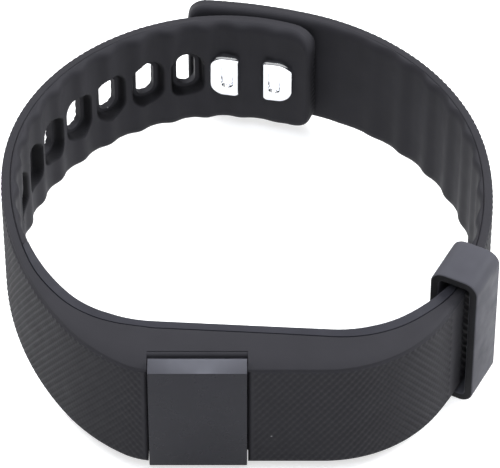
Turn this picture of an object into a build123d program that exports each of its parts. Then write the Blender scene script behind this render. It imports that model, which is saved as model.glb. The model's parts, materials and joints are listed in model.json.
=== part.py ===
from build123d import *
import math
import os

os.makedirs("parts", exist_ok=True)

# Fitness tracker band, millimetres. The closed band stands on its lower edge:
# Z runs across the band's width and the face with the raised block looks toward -Y.
# The shapes are drawn about the middle of the loop. Before they are saved, all of them
# are moved together so that the origin is at the middle of the band's footprint.

# ---- driving dimensions ----------------------------------------------------
BODY_WIDTH = 22.0        # width of the thick front, across the inner edge
FACE_WIDTH = 19.4        # width of its outer face, between the two sloped edges
STRAP_WIDTH = 20.0
STRAP_THICK = 2.4
EDGE_SLOPE_RUN = 6.0     # depth of the sloped edge, measured in from the outer face
EDGE_SLOPE_RISE = (BODY_WIDTH - FACE_WIDTH) / 2
MID_Z = BODY_WIDTH / 2
FRONT_Y = -36.1          # outer face of the flat front

# Outer outline seen from above: arcs (radius, degrees), each tangent to the last.
# Both runs start at an end of the flat front.
RIGHT_START = (10.5, FRONT_Y)
RIGHT_FRONT = [(20.0, 56.0), (49.0, 41.5)]
RIGHT_STRAP = [(37.5, 65.0), (70.0, 15.5)]
LEFT_START = (-13.3, FRONT_Y)
LEFT_FRONT = [(10.0, 30.5), (27.0, 23.5), (52.0, 37.0)]
LEFT_STRAP = [(33.5, 73.0), (30.0, 44.0)]
RIGHT_PIVOT_HEADING = 80.0
LEFT_PIVOT_HEADING = 89.5

# Inner outline of the front: the wrist side of the tracker.
WRIST_WALL_LEFT = (-13.9, -27.4)
WRIST_WALL_RIGHT = (11.5, -29.0)
WRIST_LEFT_ARCS = [(17.1, 45.9), (34.0, 25.0)]
WRIST_RIGHT_ARCS = [(16.4, 41.0), (30.0, 26.0)]
WRIST_RUN_OUT = 10.0
BACK_CASE_THICK = 1.6
BACK_CASE_LEFT_Y = -12.0
BACK_CASE_RIGHT_Y = -19.0
SEAM_GAP = 0.05

# Flex lines, where the bending of the soft straps is gathered into one hinge each.
FLEX_GAP = 0.08
SWING_LIMIT = 20.0

# Clasp.
HOLE_PITCH = 6.85
FREE_HOLE_COUNT = 7
FREE_HOLES_START = 20.9  # from the strap's end to the first free hole, along the outer face
FREE_HOLE = (6.5, 3.0)
FREE_DISH = (8.9, 5.4)   # each free hole lies in an oval dish, where a peg's head would rest
DISH_DEPTH = 1.4
PEG_HOLE = (8.6, 4.9)    # the two holes in use, spread open by the peg heads
PEG_HOLE_CORNER = 1.0
PEG_HEAD = (4.5, 8.0, 0.9)
PEG_HEAD_ROUND = 2.2
PEG_FLAT_ROUND = 0.5
PEG_FLAT_GAP = 3.75
PEG_STEM = (1.9, 5.0)
PEG_STEM_PITCH = 7.3
PEG_DIMPLE = (4.2, 1.7, 0.5)
PEG_REACH = 6.70         # from the plate's outer face to the inner face of the heads
PLATE = (13.6, 9.0, 0.6)
PLATE_SINK = 1.0

# Keeper loop.
KEEPER_CENTRE = (30.75, -17.9)
KEEPER_HEADING = 62.5
KEEPER_LENGTH = 7.6
KEEPER_THICK = 7.4
KEEPER_Z = (-0.9, 23.7)
KEEPER_WALL = 1.3
WAIST_Z = (1.75, 20.9)   # the band is narrower where the keeper rides
WAIST_START = 44.0       # heading of the outer face where the waist begins

# Raised block with the display.
BLOCK_X = (-14.4, -0.4)
BLOCK_FACE_Y = -36.65
BLOCK_FACE_WIDTH = 19.5
BLOCK_BEVEL = 1.2        # rise of the two sloped edges
BLOCK_BEVEL_RUN = 1.75   # and how far back they run
BLOCK_DEPTH = 2.0
BLOCK_GAP = 0.15
WINDOW_REAR_Y = -33.6

# Tracker core, held in a pocket behind the outer face.
POCKET_X = (-17.2, 14.4)
POCKET_Z = (2.4, 19.6)
POCKET_FRONT_Y = -34.7
CASE_GAP = 0.15
CASE_WALL = 0.8
CASE_RIM_Y = -31.1
SEAL_THICK = 0.4


# ---- helpers ---------------------------------------------------------------
class Arc:
    """One tangent arc of an outline, kept so that it can be set in or cut short."""

    def __init__(self, start, heading, turn, radius, sweep):
        self.turn = turn
        self.radius = radius
        self.h0 = heading
        self.h1 = heading + turn * sweep
        nx, ny = self.normal(heading)
        self.centre = (start[0] + radius * nx, start[1] + radius * ny)
        self.end = self.at(self.h1)

    def normal(self, heading):
        """Unit vector from the outline toward the arc's centre."""
        a = math.radians(heading)
        return (-math.sin(a) * self.turn, math.cos(a) * self.turn)

    def at(self, heading, inset=0.0):
        nx, ny = self.normal(heading)
        r = self.radius - inset
        return (self.centre[0] - nx * r, self.centre[1] - ny * r)

    def edge(self, inset=0.0):
        middle = (self.h0 + self.h1) / 2
        return ThreePointArc(self.at(self.h0, inset), self.at(middle, inset), self.at(self.h1, inset))


def run(start, heading, turn, arcs):
    """A chain of tangent arcs. turn is +1 to the left, -1 to the right."""
    chain = []
    for radius, sweep in arcs:
        chain.append(Arc(start, heading, turn, radius, sweep))
        start = chain[-1].end
        heading = chain[-1].h1
    return chain


def find(chain, heading, inset=0.0):
    """Point of a chain where it has the given heading."""
    for arc in chain:
        if min(arc.h0, arc.h1) <= heading <= max(arc.h0, arc.h1):
            return arc.at(heading, inset)
    raise ValueError("heading is not on this outline")


def strip(chain, near, far):
    """Flat face between two insets of one chain."""
    first, last = chain[0], chain[-1]
    edges = [arc.edge(near) for arc in chain] + [arc.edge(far) for arc in chain]
    edges.append(Line(first.at(first.h0, near), first.at(first.h0, far)))
    edges.append(Line(last.at(last.h1, near), last.at(last.h1, far)))
    return make_face(edges)


def rise(face, z0, z1):
    """Face in plan, raised into a solid from z0 to z1."""
    return extrude(Pos(0, 0, z0) * face, z1 - z0, dir=(0, 0, 1))


def block(x, y, z):
    """Box from its limits."""
    centre = Pos((x[0] + x[1]) / 2, (y[0] + y[1]) / 2, (z[0] + z[1]) / 2)
    return centre * Box(abs(x[1] - x[0]), abs(y[1] - y[0]), abs(z[1] - z[0]))


def corners(shape, axis, radius):
    """Round the edges that run along an axis."""
    return fillet(shape.edges().filter_by(axis), radius)


def direction(heading):
    a = math.radians(heading)
    return (math.cos(a), math.sin(a))


def cylinder_y(x, y0, y1, z, radius):
    """Cylinder along Y."""
    axis = Plane(origin=(x, min(y0, y1), z), x_dir=(1, 0, 0), z_dir=(0, 1, 0))
    return axis * Cylinder(radius, abs(y1 - y0), align=(Align.CENTER, Align.CENTER, Align.MIN))


RUBBER = (0.19, 0.19, 0.20)
PLASTIC = (0.26, 0.26, 0.29)
STEEL = (0.80, 0.81, 0.83)
BOARD = (0.05, 0.27, 0.16)
CHIP = (0.07, 0.07, 0.08)
GOLD = (0.83, 0.66, 0.30)
COPPER = (0.72, 0.45, 0.27)
FOIL = (0.70, 0.71, 0.74)
BLACK = (0.03, 0.03, 0.04)

# ---- outlines --------------------------------------------------------------
right_run = run(RIGHT_START, 0.0, 1, RIGHT_FRONT + RIGHT_STRAP)
left_run = run(LEFT_START, 180.0, -1, LEFT_FRONT + LEFT_STRAP)
right_front = right_run[:2]
left_front = left_run[:3]
RIGHT_PIVOT = find(right_run, RIGHT_PIVOT_HEADING, STRAP_THICK / 2)
LEFT_PIVOT = find(left_run, LEFT_PIVOT_HEADING, STRAP_THICK / 2)

wall_heading = math.degrees(math.atan2(WRIST_WALL_RIGHT[1] - WRIST_WALL_LEFT[1],
                                       WRIST_WALL_RIGHT[0] - WRIST_WALL_LEFT[0]))
wrist_left = run(WRIST_WALL_LEFT, 180.0 + wall_heading, -1, WRIST_LEFT_ARCS)
wrist_right = run(WRIST_WALL_RIGHT, wall_heading, 1, WRIST_RIGHT_ARCS)


def front_outline(inset):
    """The whole front half of the loop as a filled face, set in from the outer face."""
    edges = [arc.edge(inset) for arc in left_front + right_front]
    edges.append(Line(left_front[0].at(180.0, inset), right_front[0].at(0.0, inset)))
    edges.append(Line(left_front[-1].at(left_front[-1].h1, inset),
                      right_front[-1].at(right_front[-1].h1, inset)))
    return make_face(edges)


def wrist_outline(inset):
    """Everything on the wrist side of the tracker's inner wall. A negative inset is outward."""
    left_end = wrist_left[-1].at(wrist_left[-1].h1, inset)
    right_end = wrist_right[-1].at(wrist_right[-1].h1, inset)
    lx, ly = direction(wrist_left[-1].h1)
    rx, ry = direction(wrist_right[-1].h1)
    left_out = (left_end[0] + lx * WRIST_RUN_OUT, left_end[1] + ly * WRIST_RUN_OUT)
    right_out = (right_end[0] + rx * WRIST_RUN_OUT, right_end[1] + ry * WRIST_RUN_OUT)
    edges = [arc.edge(inset) for arc in wrist_left + wrist_right]
    edges.append(Line(wrist_left[0].at(wrist_left[0].h0, inset),
                      wrist_right[0].at(wrist_right[0].h0, inset)))
    edges.append(Line(left_end, left_out))
    edges.append(Line(left_out, (left_out[0], 20.0)))
    edges.append(Line((left_out[0], 20.0), (right_out[0], 20.0)))
    edges.append(Line((right_out[0], 20.0), right_out))
    edges.append(Line(right_out, right_end))
    return make_face(edges)


# ---- flex lines ------------------------------------------------------------
strap_z = (MID_Z - STRAP_WIDTH / 2, MID_Z + STRAP_WIDTH / 2)


def half_plan(pivot, heading, forward):
    """Everything on one side of the line across a strap at its pivot."""
    side = 160.0
    dx, dy = direction(heading)
    shift = side / 2 if forward else -side / 2
    square = Rot(0, 0, heading) * Rectangle(side, side)
    return Pos(pivot[0] + dx * shift, pivot[1] + dy * shift) * square


def knuckle(pivot, radius):
    return rise(Pos(*pivot) * Circle(radius), *strap_z)


def relief(pivot, heading, side):
    """Wedge that gives a strap room to swing toward one side of its flex line."""
    reach = 3 * STRAP_THICK
    spread = SWING_LIMIT + 4.0
    a0 = direction(heading + side * 120.0)
    a1 = direction(heading + side * (90.0 - spread))
    p0 = pivot
    p1 = (pivot[0] + a0[0] * reach, pivot[1] + a0[1] * reach)
    p2 = (pivot[0] + a1[0] * reach, pivot[1] + a1[1] * reach)
    return rise(make_face([Line(p0, p1), Line(p1, p2), Line(p2, p0)]), 0, BODY_WIDTH)


left_heading = LEFT_PIVOT_HEADING
right_heading = RIGHT_PIVOT_HEADING
LEFT_END_CUT = rise(half_plan(LEFT_PIVOT, left_heading, True), -1, BODY_WIDTH + 1)
RIGHT_END_CUT = rise(half_plan(RIGHT_PIVOT, right_heading, True), -1, BODY_WIDTH + 1)

# ---- front body: outer shell and the tracker's back case --------------------
core = rise(front_outline(0.0), EDGE_SLOPE_RISE, BODY_WIDTH - EDGE_SLOPE_RISE)
top_slope = loft([Pos(0, 0, BODY_WIDTH - EDGE_SLOPE_RISE) * front_outline(0.0),
                  Pos(0, 0, BODY_WIDTH) * front_outline(EDGE_SLOPE_RUN)], ruled=True)
body = core + top_slope + top_slope.mirror(Plane.XY.offset(MID_Z))

wrist_void = front_outline(STRAP_THICK) & wrist_outline(0.0)
body -= rise(wrist_void, -1, BODY_WIDTH + 1)
body -= LEFT_END_CUT
body -= RIGHT_END_CUT
waist_plan = half_plan(find(right_run, WAIST_START, STRAP_THICK), WAIST_START + 12.0, True)
waist_plan &= Pos(40, 0) * Rectangle(60, 120)
body -= rise(waist_plan, -1, WAIST_Z[0]) + rise(waist_plan, WAIST_Z[1], BODY_WIDTH + 1)
body += knuckle(LEFT_PIVOT, STRAP_THICK / 2)
body += knuckle(RIGHT_PIVOT, STRAP_THICK / 2)

back_case_plan = wrist_outline(-BACK_CASE_THICK)
back_case_plan &= Pos(0, -30 + BACK_CASE_LEFT_Y) * Rectangle(120, 60)
back_case_plan -= Pos(60, 30 + BACK_CASE_RIGHT_Y) * Rectangle(120, 60)
back_case = body & rise(back_case_plan, -1, BODY_WIDTH + 1)
bed_plan = wrist_outline(-BACK_CASE_THICK - SEAM_GAP)
bed_plan &= Pos(0, -30 + BACK_CASE_LEFT_Y + SEAM_GAP) * Rectangle(120, 60)
bed_plan -= Pos(60, 30 + BACK_CASE_RIGHT_Y + SEAM_GAP) * Rectangle(120, 60)
shell = body - rise(bed_plan, -1, BODY_WIDTH + 1)

boss = block((POCKET_X[0] + CASE_GAP, POCKET_X[1] - CASE_GAP), (CASE_RIM_Y + SEAL_THICK, -28.6),
             (POCKET_Z[0] + CASE_GAP, POCKET_Z[1] - CASE_GAP))
boss -= rise(wrist_outline(-0.2), -1, BODY_WIDTH + 1)
back_case = back_case + boss

window_x = (BLOCK_X[0] - BLOCK_GAP, BLOCK_X[1] + BLOCK_GAP)
shell -= block(POCKET_X, (POCKET_FRONT_Y, -20), POCKET_Z)
shell -= block(window_x, (-40, WINDOW_REAR_Y), (-1, BODY_WIDTH + 1))

# ---- straps ----------------------------------------------------------------
hole_strap = rise(strip(left_run[2:], 0.0, STRAP_THICK), *strap_z)
hole_strap -= rise(half_plan(LEFT_PIVOT, left_heading, False), -1, BODY_WIDTH + 1)
clasp_strap = rise(strip(right_run[1:], 0.0, STRAP_THICK), *strap_z)
clasp_strap -= rise(half_plan(RIGHT_PIVOT, right_heading, False), -1, BODY_WIDTH + 1)


def round_end(strap, chain, radius):
    """Round the two corners at the free end of a strap."""
    tip = chain[-1].at(chain[-1].h1, STRAP_THICK / 2)
    across = [e for e in strap.edges() if abs(e.length - STRAP_THICK) < 0.05
              and abs((e @ 0.5).X - tip[0]) < 1.0 and abs((e @ 0.5).Y - tip[1]) < 1.0]
    return fillet(across, radius)


hole_strap = round_end(hole_strap, left_run, 3.6)
clasp_strap = round_end(clasp_strap, right_run, 3.0)

# The pegs stand square to the line between the two flex lines, so they leave the
# holes straight when both straps swing by the same angle.
span = (RIGHT_PIVOT[0] - LEFT_PIVOT[0], RIGHT_PIVOT[1] - LEFT_PIVOT[1])
span_length = math.hypot(*span)
along = (span[0] / span_length, span[1] / span_length)
outward = (-along[1], along[0])
clasp_heading = math.degrees(math.atan2(along[1], along[0]))


def clasp_place(u, w, z=MID_Z):
    """Location at u along the straps and w outward from the middle of the clasp plate."""
    x = CLASP_MID[0] + along[0] * u + outward[0] * w
    y = CLASP_MID[1] + along[1] * u + outward[1] * w
    return Location(Plane(origin=(x, y, z), x_dir=(along[0], along[1], 0),
                          z_dir=(outward[0], outward[1], 0)))


def outer_point(chain, x):
    """Point of the outer face of a strap at a given X near the clasp."""
    arc = chain[-1]
    return (x, arc.centre[1] + math.sqrt(arc.radius**2 - (x - arc.centre[0])**2))


CLASP_MID = outer_point(right_run, 1.2)
peg_side = [-1, 1]
peg_centre = (PEG_FLAT_GAP + PEG_HEAD[0]) / 2

plate_seat = clasp_place(0, 0) * Box(PLATE[0] + 0.1, PLATE[1] + 0.1, 2 * PLATE_SINK)
plate_seat = corners(plate_seat, Axis(origin=(0, 0, 0), direction=(outward[0], outward[1], 0)), 2.0)
clasp_strap -= plate_seat
clasp_plate = clasp_place(0, -PLATE_SINK + PLATE[2] / 2) * Box(*PLATE)
clasp_plate = corners(clasp_plate, Axis(origin=(0, 0, 0), direction=(outward[0], outward[1], 0)), 1.95)

pegs = []
head_low = -PEG_REACH
for side in peg_side:
    stem_u = side * PEG_STEM_PITCH / 2
    stem_top = -PLATE_SINK
    stem_depth = PEG_REACH - PLATE_SINK - PEG_HEAD[2] / 2
    stem_plan = SlotOverall(PEG_STEM[1], PEG_STEM[0], rotation=90)
    stem = extrude(stem_plan, stem_depth)
    stem = clasp_place(stem_u, stem_top - stem_depth) * stem
    head_plan = Rectangle(PEG_HEAD[0], PEG_HEAD[1])
    outer_corners = head_plan.vertices().group_by(Axis.X)[-1 if side > 0 else 0]
    head_plan = fillet(outer_corners, PEG_HEAD_ROUND)
    flat_corners = [v for v in head_plan.vertices() if abs(v.X + side * PEG_HEAD[0] / 2) < 0.01]
    head_plan = fillet(flat_corners, PEG_FLAT_ROUND)
    head = clasp_place(side * peg_centre, head_low) * extrude(head_plan, PEG_HEAD[2])
    dimple = extrude(SlotOverall(PEG_DIMPLE[0], PEG_DIMPLE[1], rotation=90), PEG_DIMPLE[2])
    dimple = clasp_place(stem_u, head_low) * dimple
    pegs.append(stem + head - dimple)
    hole = extrude(SlotOverall(PEG_STEM[1] + 0.1, PEG_STEM[0] + 0.1, rotation=90), 6.0)
    clasp_strap -= clasp_place(stem_u, -6.0) * hole
clasp_pegs = pegs[0] + pegs[1]

# Two wide holes that the pegs' D-shaped heads can pass, then evenly pitched oval holes for
# other wrists, each in a dish on the wrist side.


def strap_point(chain, distance):
    """The arc, and the heading on it, at a distance back from the strap's free end."""
    for arc in reversed(chain):
        length = math.radians(abs(arc.h1 - arc.h0)) * arc.radius
        if distance <= length:
            step = math.degrees(distance / arc.radius)
            return arc, arc.h1 - arc.turn * step
        distance -= length
    raise ValueError("beyond the strap's root")


def oval(length, width, depth):
    """Slot with round ends, long across the strap."""
    return extrude(SlotOverall(length, width, rotation=90), depth)


def peg_hole(depth):
    """Rounded rectangle, long across the strap."""
    return extrude(RectangleRounded(PEG_HOLE[1], PEG_HOLE[0], PEG_HOLE_CORNER), depth)


for side in peg_side:
    hole_strap -= clasp_place(side * peg_centre, -10.0) * peg_hole(20.0)

for number in range(FREE_HOLE_COUNT):
    arc, heading = strap_point(left_run, FREE_HOLES_START + HOLE_PITCH * number)
    nx, ny = arc.normal(heading)
    tx, ty = direction(heading)
    x, y = arc.at(heading, STRAP_THICK)
    place = Location(Plane(origin=(x, y, MID_Z), x_dir=(tx, ty, 0), z_dir=(-nx, -ny, 0)))
    hole_strap -= place * Pos(0, 0, -3) * oval(*FREE_DISH, 3 + DISH_DEPTH)
    hole_strap -= place * Pos(0, 0, -3) * oval(*FREE_HOLE, 8)

hole_strap -= knuckle(LEFT_PIVOT, STRAP_THICK / 2 + FLEX_GAP)
hole_strap -= relief(LEFT_PIVOT, left_heading, -1)
clasp_strap -= knuckle(RIGHT_PIVOT, STRAP_THICK / 2 + FLEX_GAP)
clasp_strap -= relief(RIGHT_PIVOT, right_heading, -1)

# ---- keeper loop -----------------------------------------------------------
keeper_height = KEEPER_Z[1] - KEEPER_Z[0]
keeper_plane = Plane(origin=(KEEPER_CENTRE[0], KEEPER_CENTRE[1], (KEEPER_Z[0] + KEEPER_Z[1]) / 2),
                     x_dir=(direction(KEEPER_HEADING - 90)[0], direction(KEEPER_HEADING - 90)[1], 0),
                     z_dir=(direction(KEEPER_HEADING)[0], direction(KEEPER_HEADING)[1], 0))
keeper_section = RectangleRounded(KEEPER_THICK, keeper_height, 1.7)
keeper_section -= RectangleRounded(KEEPER_THICK - 2 * KEEPER_WALL, keeper_height - 2 * KEEPER_WALL, 0.6)
keeper = keeper_plane * Pos(0, 0, -KEEPER_LENGTH / 2) * extrude(keeper_section, KEEPER_LENGTH)

# ---- tracker front case and block --------------------------------------------
case_x = (POCKET_X[0] + CASE_GAP, POCKET_X[1] - CASE_GAP)
case_z = (POCKET_Z[0] + CASE_GAP, POCKET_Z[1] - CASE_GAP)
case_front = POCKET_FRONT_Y + 0.1
cavity_x = (case_x[0] + CASE_WALL, case_x[1] - CASE_WALL)
cavity_z = (case_z[0] + CASE_WALL, case_z[1] - CASE_WALL)
cavity_front = case_front + CASE_WALL
front_case = block(case_x, (case_front, CASE_RIM_Y), case_z)
front_case -= block(cavity_x, (cavity_front, CASE_RIM_Y + 1), cavity_z)

block_mid_x = (BLOCK_X[0] + BLOCK_X[1]) / 2
face_half = BLOCK_FACE_WIDTH / 2
bevel_z = face_half + BLOCK_BEVEL
bevel_y = BLOCK_FACE_Y + BLOCK_BEVEL_RUN
rear_y = BLOCK_FACE_Y + BLOCK_DEPTH
lower_half = [(BLOCK_FACE_Y, MID_Z - face_half), (bevel_y, MID_Z - bevel_z), (rear_y, MID_Z - bevel_z)]
upper_half = [(y, 2 * MID_Z - z) for y, z in reversed(lower_half)]
section = Polyline(*lower_half, *upper_half, close=True)
side_plane = Plane(origin=(BLOCK_X[0], 0, 0), x_dir=(0, 1, 0), z_dir=(1, 0, 0))
bezel = extrude(side_plane * make_face(section), BLOCK_X[1] - BLOCK_X[0])
COVER_THICK = 0.7
COVER_X = (BLOCK_X[0] + 0.35, BLOCK_X[1] - 0.35)
COVER_Z = (MID_Z - face_half + 0.3, MID_Z + face_half - 0.3)
bezel -= block(COVER_X, (BLOCK_FACE_Y - 1, BLOCK_FACE_Y + COVER_THICK), COVER_Z)
OLED_X = (block_mid_x - 5.6, block_mid_x + 5.6)
OLED_Z = (5.2, 17.6)
OLED_THICK = 1.1
oled_front = BLOCK_FACE_Y + COVER_THICK + 0.1
opening_x = (OLED_X[0] - 0.3, OLED_X[1] + 0.3)
opening_z = (OLED_Z[0] - 0.3, OLED_Z[1] + 0.3)
bezel -= block(opening_x, (BLOCK_FACE_Y, rear_y + 1), opening_z)
bezel -= block((block_mid_x - 3, block_mid_x + 3), (BLOCK_FACE_Y, rear_y + 1), (2.6, 5.2))
face_cover = block((COVER_X[0] + 0.05, COVER_X[1] - 0.05),
                   (BLOCK_FACE_Y, BLOCK_FACE_Y + COVER_THICK - 0.02),
                   (COVER_Z[0] + 0.05, COVER_Z[1] - 0.05))
front_case -= block(opening_x, (-40, cavity_front), opening_z)
touch_electrode = block((block_mid_x - 2.5, block_mid_x + 2.5),
                        (BLOCK_FACE_Y + COVER_THICK, BLOCK_FACE_Y + COVER_THICK + 0.1), (2.8, 4.8))

# ---- display, board and chips ------------------------------------------------
oled = block(OLED_X, (oled_front, oled_front + OLED_THICK), OLED_Z)
oled_rear = oled_front + OLED_THICK
BOARD_FRONT_Y = -32.5
BOARD_THICK = 0.6
BOARD_X = (cavity_x[0] + 0.2, 1.0)
BOARD_Z = (cavity_z[0] + 0.2, cavity_z[1] - 0.2)
MOTOR_CENTRE = (-12.4, 6.9)
MOTOR_RADIUS = 3.0
board = block(BOARD_X, (BOARD_FRONT_Y, BOARD_FRONT_Y + BOARD_THICK), BOARD_Z)
board -= block((BOARD_X[0] - 1, MOTOR_CENTRE[0] + MOTOR_RADIUS + 0.6), (-40, -20),
               (BOARD_Z[0] - 1, MOTOR_CENTRE[1] + MOTOR_RADIUS + 0.6))
SCREW_PLACES = [(-14.9, 16.7), (-0.45, 16.7)]
SCREW_RADIUS = 0.5
for x, z in SCREW_PLACES:
    front_case += cylinder_y(x, cavity_front - 0.1, BOARD_FRONT_Y - 0.02, z, 1.0)
    front_case -= cylinder_y(x, cavity_front + 0.1, BOARD_FRONT_Y + 1, z, SCREW_RADIUS)
    board -= cylinder_y(x, BOARD_FRONT_Y - 1, BOARD_FRONT_Y + 2, z, SCREW_RADIUS + 0.1)
screws = []
board_back = BOARD_FRONT_Y + BOARD_THICK
for x, z in SCREW_PLACES:
    screw = cylinder_y(x, board_back - 1.5, board_back, z, SCREW_RADIUS - 0.03)
    screw += cylinder_y(x, board_back, board_back + 0.45, z, 0.95)
    screw -= block((x - 0.7, x + 0.7), (board_back + 0.25, board_back + 1), (z - 0.1, z + 0.1))
    screws.append(screw)
board_screws = screws[0] + screws[1]

FLEX_THICK = 0.12
FLEX_X = (block_mid_x - 2, block_mid_x + 2)
foam_z = (OLED_Z[0] + 3.2, OLED_Z[1] - 0.4)
foam = block((OLED_X[0] + 0.4, OLED_X[1] - 0.4), (oled_rear, oled_rear + 0.7), foam_z)
flex_z = OLED_Z[0] + 0.4
flex = block(FLEX_X, (oled_rear, oled_rear + FLEX_THICK), (flex_z, flex_z + 2.2))
flex += block(FLEX_X, (oled_rear, BOARD_FRONT_Y), (flex_z, flex_z + FLEX_THICK))
flex += block(FLEX_X, (BOARD_FRONT_Y - FLEX_THICK, BOARD_FRONT_Y), (flex_z, flex_z + 1.8))


def chip(x, z, width, length, height, side):
    """Chip on the board's outer (-1) or inner (+1) face."""
    y0 = BOARD_FRONT_Y if side < 0 else BOARD_FRONT_Y + BOARD_THICK
    chip_z = (z - length / 2, z + length / 2)
    return block((x - width / 2, x + width / 2), (y0, y0 + side * height), chip_z)


radio_chip = chip(-4.1, 12.6, 5.0, 5.0, 0.85, 1)
memory_chip = chip(-10.2, 14.6, 3.0, 3.6, 0.7, 1)
motion_chip = chip(-4.6, 6.9, 3.0, 3.0, 0.9, 1)
power_chip = chip(-1.4, 8.6, 2.2, 2.2, 0.7, 1)
crystal = chip(-9.0, 11.6, 2.0, 1.2, 0.5, 1)
antenna = chip(-12.8, 11.9, 1.6, 2.4, 0.9, 1)

# ---- battery -----------------------------------------------------------------
BATTERY_X = (1.6, cavity_x[1] - 0.3)
BATTERY_Z = (cavity_z[0] + 0.4, cavity_z[1] - 0.4)
tape_rear = cavity_front + 0.15
tape_z = (BATTERY_Z[0] + 1, BATTERY_Z[1] - 1)
battery_tape = block((BATTERY_X[0] + 1, BATTERY_X[1] - 1), (cavity_front, tape_rear), tape_z)
battery = block(BATTERY_X, (tape_rear, CASE_RIM_Y + 0.2), BATTERY_Z)
battery = fillet(battery.edges().filter_by(Axis.Z), 0.7)
leads = []
for z in (BATTERY_Z[1] - 5.6, BATTERY_Z[1] - 3.8):
    lead = block((BATTERY_X[0] - 1.6, BATTERY_X[0]), (board_back, board_back + 0.35), (z, z + 0.7))
    leads.append(lead)
battery_leads = leads[0] + leads[1]

# ---- vibration motor ---------------------------------------------------------
mx, mz = MOTOR_CENTRE
motor_front = cavity_front + 0.15
motor_rear = motor_front + 2.5
motor_case = cylinder_y(mx, motor_front, motor_rear, mz, MOTOR_RADIUS)
motor_case -= cylinder_y(mx, motor_front + 0.2, motor_rear - 0.2, mz, MOTOR_RADIUS - 0.2)
motor_shaft = cylinder_y(mx, motor_front + 0.2, motor_rear - 0.2, mz, 0.4)
motor_magnet = cylinder_y(mx, motor_front + 0.2, motor_front + 0.75, mz, 2.4)
motor_magnet -= cylinder_y(mx, motor_front, motor_front + 1, mz, 1.0)
motor_weight = cylinder_y(mx, motor_front + 0.95, motor_rear - 0.45, mz, 2.6)
motor_weight -= block((mx - 3, mx + 3), (motor_front, motor_rear), (mz + 0.9, mz + 4))
motor_weight -= cylinder_y(mx, motor_front, motor_rear, mz, 0.46)
motor_pad = cylinder_y(mx, cavity_front, motor_front, mz, 2.7)

# ---- seal and charging contacts ----------------------------------------------
seal_inset = 0.1
seal = block((case_x[0] + seal_inset, case_x[1] - seal_inset), (CASE_RIM_Y, CASE_RIM_Y + SEAL_THICK),
             (case_z[0] + seal_inset, case_z[1] - seal_inset))
seal -= block((cavity_x[0] - seal_inset, cavity_x[1] + seal_inset), (-40, -20),
              (cavity_z[0] - seal_inset, cavity_z[1] + seal_inset))
CONTACT_RADIUS = 0.9
CONTACT_PLACES = [(-7.6, 8.6), (-7.6, 12.2)]
contacts = []
for x, z in CONTACT_PLACES:
    wall_y = WRIST_WALL_LEFT[1] + (x - WRIST_WALL_LEFT[0]) * math.tan(math.radians(wall_heading))
    pad_y = wall_y - 0.15
    back_case -= cylinder_y(x, wall_y - 0.75, wall_y + 3, z, CONTACT_RADIUS + 0.4)
    back_case -= cylinder_y(x, -31.5, wall_y, z, 0.45)
    pin = cylinder_y(x, board_back, wall_y - 0.7, z, 0.4)
    pin += cylinder_y(x, wall_y - 0.74, pad_y, z, CONTACT_RADIUS)
    contacts.append(pin)
charge_contacts = contacts[0] + contacts[1]

# ---- files ---------------------------------------------------------------------
PIECES = {
    "front_shell": (shell, RUBBER),
    "hole_strap": (hole_strap, RUBBER),
    "clasp_strap": (clasp_strap, RUBBER),
    "keeper_loop": (keeper, PLASTIC),
    "clasp_plate": (clasp_plate, STEEL),
    "clasp_pegs": (clasp_pegs, STEEL),
    "module_back_case": (back_case, PLASTIC),
    "module_front_case": (front_case, PLASTIC),
    "block_bezel": (bezel, PLASTIC),
    "face_cover": (face_cover, BLACK),
    "touch_electrode": (touch_electrode, COPPER),
    "display_panel": (oled, BLACK),
    "display_foam": (foam, CHIP),
    "display_flex": (flex, COPPER),
    "main_board": (board, BOARD),
    "board_screws": (board_screws, STEEL),
    "radio_chip": (radio_chip, CHIP),
    "memory_chip": (memory_chip, CHIP),
    "motion_chip": (motion_chip, CHIP),
    "power_chip": (power_chip, CHIP),
    "clock_crystal": (crystal, FOIL),
    "chip_antenna": (antenna, GOLD),
    "battery": (battery, FOIL),
    "battery_tape": (battery_tape, CHIP),
    "battery_leads": (battery_leads, COPPER),
    "motor_case": (motor_case, STEEL),
    "motor_shaft": (motor_shaft, STEEL),
    "motor_magnet": (motor_magnet, FOIL),
    "motor_weight": (motor_weight, STEEL),
    "motor_pad": (motor_pad, CHIP),
    "case_seal": (seal, BLACK),
    "charge_contacts": (charge_contacts, GOLD),
}
lows = [shape.bounding_box().min for shape, colour in PIECES.values()]
highs = [shape.bounding_box().max for shape, colour in PIECES.values()]
foot_x = (min(p.X for p in lows) + max(p.X for p in highs)) / 2
foot_y = (min(p.Y for p in lows) + max(p.Y for p in highs)) / 2
foot_z = min(p.Z for p in lows)
for node, (shape, colour) in PIECES.items():
    placed = Pos(-foot_x, -foot_y, -foot_z) * shape
    placed.label = node
    placed.color = Color(*colour)
    export_step(placed, f"parts/{node}.step")

places = {"drawing origin": (0, 0), "right flex line": RIGHT_PIVOT, "left flex line": LEFT_PIVOT,
          "motor": (mx, motor_front), "keeper": KEEPER_CENTRE}
for name, (x, y) in places.items():
    print(f"{name}: {x - foot_x:.4f} {y - foot_y:.4f}")
print(f"lift: {-foot_z:.4f}")
print("pegs point", outward)
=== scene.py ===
"""Looks of the fitness tracker band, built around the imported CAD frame."""
import json
import math
from collections import namedtuple

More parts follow.
